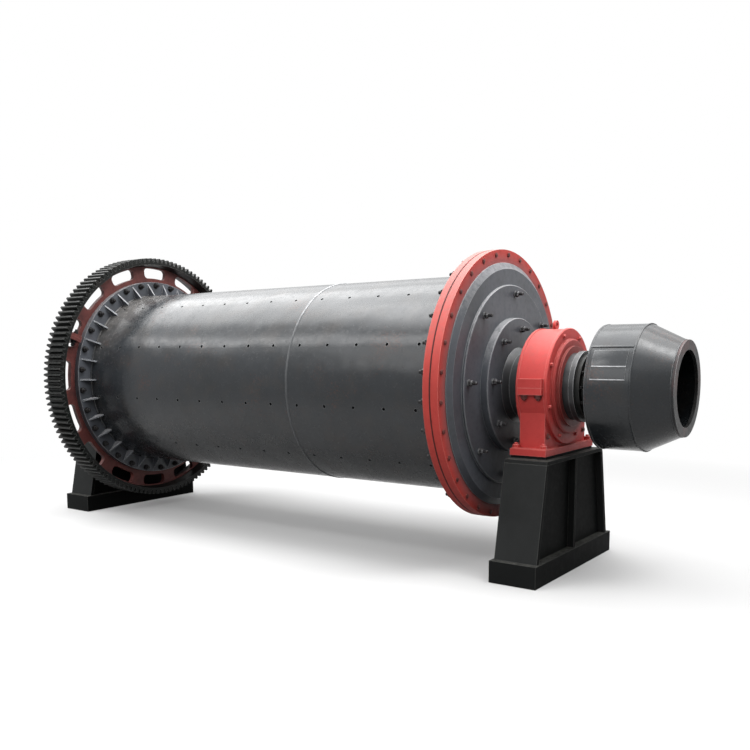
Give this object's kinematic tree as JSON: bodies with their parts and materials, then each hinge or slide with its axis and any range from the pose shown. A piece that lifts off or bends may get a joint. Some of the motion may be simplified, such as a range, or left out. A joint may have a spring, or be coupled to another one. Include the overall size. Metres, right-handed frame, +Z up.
{
  "type": "ball mill",
  "caption": "Grinding mill drum with bolted end caps, a toothed girth gear and a conical feeder, turning in bearings on two tapered pedestals.",
  "frame": {"origin": "on the floor, below the middle of the overall length and below the mill axis", "axes": "+X along the mill axis towards the feed mouth, +Z up, -Y the side seen in the picture"},
  "size_m": [6.825, 2.72, 2.8618],
  "materials": {
    "grey_paint": "satin blue-grey enamel over steel plate",
    "red_paint": "satin red enamel over cast and plate steel",
    "black_paint": "dull black paint over welded steel",
    "gear_black": "oiled black cast steel",
    "bearing_steel": "ground bearing steel"
  },
  "bodies": {
    "stand": {"feed_bearing_cap": "red_paint", "feed_bearing_base": "red_paint", "feed_bearing_inner_cover": "red_paint", "feed_bearing_outer_cover": "red_paint", "feed_bearing_ring": "bearing_steel", "feed_sole_plate": "black_paint", "feed_column_top": "black_paint", "feed_column_left_side": "black_paint", "feed_column_right_side": "black_paint", "feed_column_web": "black_paint", "feed_column_front_rib": "black_paint", "feed_column_back_rib": "black_paint", "feed_plinth": "black_paint", "drive_bearing_cap": "red_paint", "drive_bearing_base": "red_paint", "drive_bearing_inner_cover": "red_paint", "drive_bearing_outer_cover": "red_paint", "drive_bearing_ring": "bearing_steel", "drive_sole_plate": "black_paint", "drive_column_top": "black_paint", "drive_column_left_side": "black_paint", "drive_column_right_side": "black_paint", "drive_column_web": "black_paint", "drive_column_front_rib": "black_paint", "drive_column_back_rib": "black_paint", "drive_plinth": "black_paint"},
    "drum": {"feed_shell_can": "grey_paint", "drive_shell_can": "grey_paint", "feed_shell_flange": "red_paint", "drive_shell_flange": "grey_paint", "feed_cap_ring": "red_paint", "drive_cap_ring": "red_paint", "feed_end_cap": "grey_paint", "drive_end_cap": "grey_paint", "feed_trunnion": "grey_paint", "drive_trunnion": "grey_paint", "girth_gear_upper_rim": "gear_black", "girth_gear_lower_rim": "gear_black", "girth_gear_upper_web": "red_paint", "girth_gear_lower_web": "red_paint", "feeder_neck": "grey_paint", "feeder_back_plate": "grey_paint", "feeder_drum": "grey_paint", "feeder_cone": "grey_paint", "feeder_mouth": "grey_paint"}
  },
  "joints": [
    {"name": "drum_spin", "type": "hinge", "parent": "stand", "child": "drum", "pos_m": [0, 0, 1.502], "axis": [1, 0, 0], "continuous": true}
  ]
}
